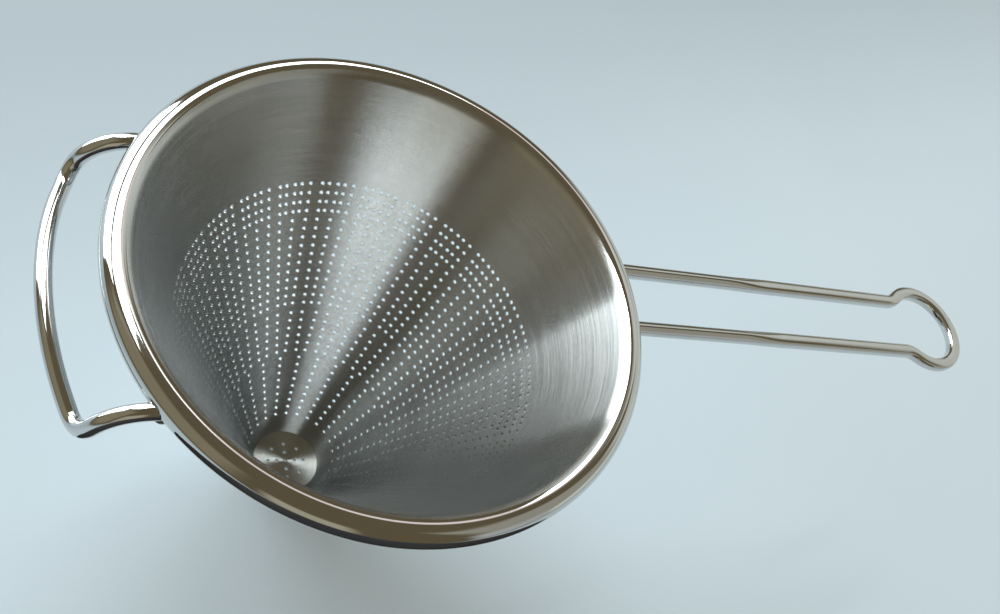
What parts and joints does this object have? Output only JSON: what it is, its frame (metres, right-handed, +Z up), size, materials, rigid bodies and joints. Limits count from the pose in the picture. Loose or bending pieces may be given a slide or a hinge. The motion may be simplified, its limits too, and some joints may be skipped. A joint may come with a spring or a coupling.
{
  "type": "chinois strainer",
  "caption": "Conical sheet metal strainer with a rolled rim, a perforated tip, a long rod handle ending in a hanging eye and a rod helper handle.",
  "frame": {"origin": "centre of the underside of the perforated disc in the cone's tip", "axes": "+Z up the cone's axis towards its open mouth, +X along the long handle, the part is symmetric about the XZ plane"},
  "size_m": [0.4091, 0.1978, 0.165],
  "materials": {
    "cone_steel": "satin brushed inside, polished on the rolled rim",
    "disc_steel": "satin, turned",
    "rod_steel": "polished stainless steel",
    "weld_steel": "ground weld"
  },
  "bodies": {
    "root": {"cone_body": "cone_steel", "tip_disc": "disc_steel", "long_handle": "rod_steel", "helper_handle": "rod_steel", "long_handle_welds": "weld_steel", "helper_handle_welds": "weld_steel"}
  },
  "joints": []
}
